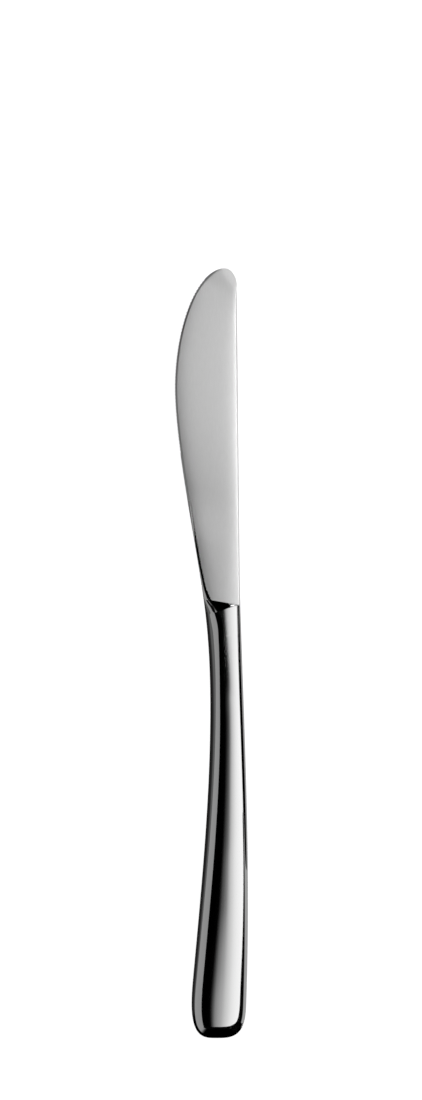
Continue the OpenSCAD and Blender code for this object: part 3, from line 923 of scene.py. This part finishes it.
# %% Cloths on the table
UNDER_Z, CLOTH_Z, STRIP, LIGHT_Y, CLOTH_END = 0.00005, 0.0001, 0.0175, 0.015, 0.6
flat_card("black_cloth", UNDER_Z, rectangle(-1.5, 3.0, -3.0, 3.0), even(0.0))
DARK_PLAN = [(LEFT_X, -0.13), (0.0, -0.1), (0.0, CLOTH_END), (LEFT_X, CLOTH_END)]
flat_card("dark_cloth", CLOTH_Z, DARK_PLAN, graded([(LEFT_X, 0.08), (-0.05, 0.04), (0.0, 0.01)], along("X")))
flat_card("grey_strip", CLOTH_Z, rectangle(0.0, STRIP, BUTT_Y, LIGHT_Y), even(0.4))
flat_card("light_cloth", CLOTH_Z, rectangle(0.0, SIDE_X, LIGHT_Y, CLOTH_END), even(1.3))
CLOTH_PLAN = [
    (0.0, -0.09), (0.01, -0.1035), (0.03, -0.118), (RIGHT_X, -0.2), (RIGHT_X, BUTT_Y), (0.0, BUTT_Y),
]
flat_card("grey_cloth", CLOTH_Z, CLOTH_PLAN, even(0.45))

# %% [markdown]
# Beyond the tip and the butt stand two walls, so that the knife has something to reflect from the sides and
# from behind. Each is dark in its middle, which keeps the shoulder and the rim of the butt black from above.
# A small flag shades the butt's right corner.

# %% Walls and flag
WALL_Y, WALL_X, WALL_TOP = 1.5, 2.6, 1.9
DIM_WALL, LIGHT_WALL = 0.35, 0.65
LEFT_GLOW = [(-WALL_X, DIM_WALL), (-1.3, DIM_WALL), (-0.6, 0.0)]
TIP_GLOW = LEFT_GLOW + [(0.35, 0.0), (0.7, LIGHT_WALL), (WALL_X, LIGHT_WALL)]
BUTT_GLOW = LEFT_GLOW + [(0.6, 0.0), (1.3, LIGHT_WALL), (WALL_X, LIGHT_WALL)]
for name, y, glow in (("tip_wall", WALL_Y, TIP_GLOW), ("butt_wall", -WALL_Y, BUTT_GLOW)):
    end_card(name, y, rectangle(-WALL_X, WALL_X, 0.0, WALL_TOP), graded(glow, along("X")))

FLAG_TOP = 0.018
FLAG_FROM, FLAG_TO = (0.0158, -0.1042), (0.0045, -0.1155)
card("butt_flag", [(*FLAG_FROM, 0.0), (*FLAG_TO, 0.0), (*FLAG_TO, FLAG_TOP), (*FLAG_FROM, FLAG_TOP)], even(0.0))

# %% [markdown]
# The rest of the tent is black cloth: a dome that only reflections see, so that the white room doesn't
# shine in the steel from all sides.

# %% Black tent
TENT_RADIUS = 4.0
velvet, tree, shader, add = new_material("black_velvet")
shader.inputs["Base Color"].default_value = grey(0.004)
shader.inputs["Roughness"].default_value = 1.0
shader.inputs["Specular IOR Level"].default_value = 0.0
bm = bmesh.new()
bmesh.ops.create_icosphere(bm, subdivisions=4, radius=TENT_RADIUS)
stand("black_tent", bm, velvet, hidden=True)

# %% [markdown]
# The knife lies on white paper. More light would bleach the knife too, so the paper glows only for rays that
# show the background: from the camera, off metal and through glass. It still takes the knife's shadow.

# %% Floor
FLOOR_HALF, FLOOR_GLOW = 3.0, 0.8


def background_rays(tree):
    """1 for camera, glossy and transmission rays, 0 for the others."""
    path = tree.nodes.new("ShaderNodeLightPath")
    rays = calculate(tree, "MAXIMUM", path.outputs["Is Camera Ray"], path.outputs["Is Glossy Ray"])
    return calculate(tree, "MAXIMUM", rays, path.outputs["Is Transmission Ray"])


paper, tree, shader, add = new_material("white_paper")
shader.inputs["Base Color"].default_value = grey(0.9)
shader.inputs["Roughness"].default_value = 0.9
shader.inputs["Specular IOR Level"].default_value = 0.0
shader.inputs["Emission Color"].default_value = grey(1)
paper_glow = calculate(tree, "MULTIPLY", background_rays(tree), FLOOR_GLOW)
tree.links.new(paper_glow, shader.inputs["Emission Strength"])
bm = bmesh.new()
bmesh.ops.create_grid(bm, x_segments=1, y_segments=1, size=FLOOR_HALF)
stand("floor", bm, paper, hidden=False)

# %% [markdown]
# The world lights the room softly from everywhere, and is plain white behind the floor.

# %% Room light
ROOM_LIGHT = 0.4
world = bpy.data.worlds.new("studio")
bpy.context.scene.world = world
world.use_nodes = True
tree = world.node_tree
backdrop = tree.nodes["Background"]
backdrop.inputs["Color"].default_value = grey(1)
brightness = tree.nodes.new("ShaderNodeMapRange")
brightness.inputs["To Min"].default_value = ROOM_LIGHT
brightness.inputs["To Max"].default_value = 1.0
tree.links.new(background_rays(tree), brightness.inputs["Value"])
tree.links.new(brightness.outputs["Result"], backdrop.inputs["Strength"])
print("studio ready")

# %% [markdown]
# ## Camera
#
# The photograph looks straight down through a long lens, a little towards the tip from the middle of the
# knife. The frame is 422 by 1100 and covers about 300 mm of table from top to bottom.

# %% Camera and colour
FRAME_LEN, LENS, SENSOR, CLIP_END = 0.3003, 100.0, 36.0, 50.0
MIDDLE_X, MIDDLE_Y, MIDDLE_Z = -0.0001, 0.02815, 0.004
camera_data = bpy.data.cameras.new("camera")
camera_data.lens = LENS
camera_data.sensor_width = SENSOR
camera = bpy.data.objects.new("camera", camera_data)
bpy.context.scene.collection.objects.link(camera)
camera.location = (MIDDLE_X, MIDDLE_Y, MIDDLE_Z + FRAME_LEN * LENS / SENSOR)
camera_data.clip_end = CLIP_END
bpy.context.scene.camera = camera
bpy.context.scene.view_settings.view_transform = "Standard"
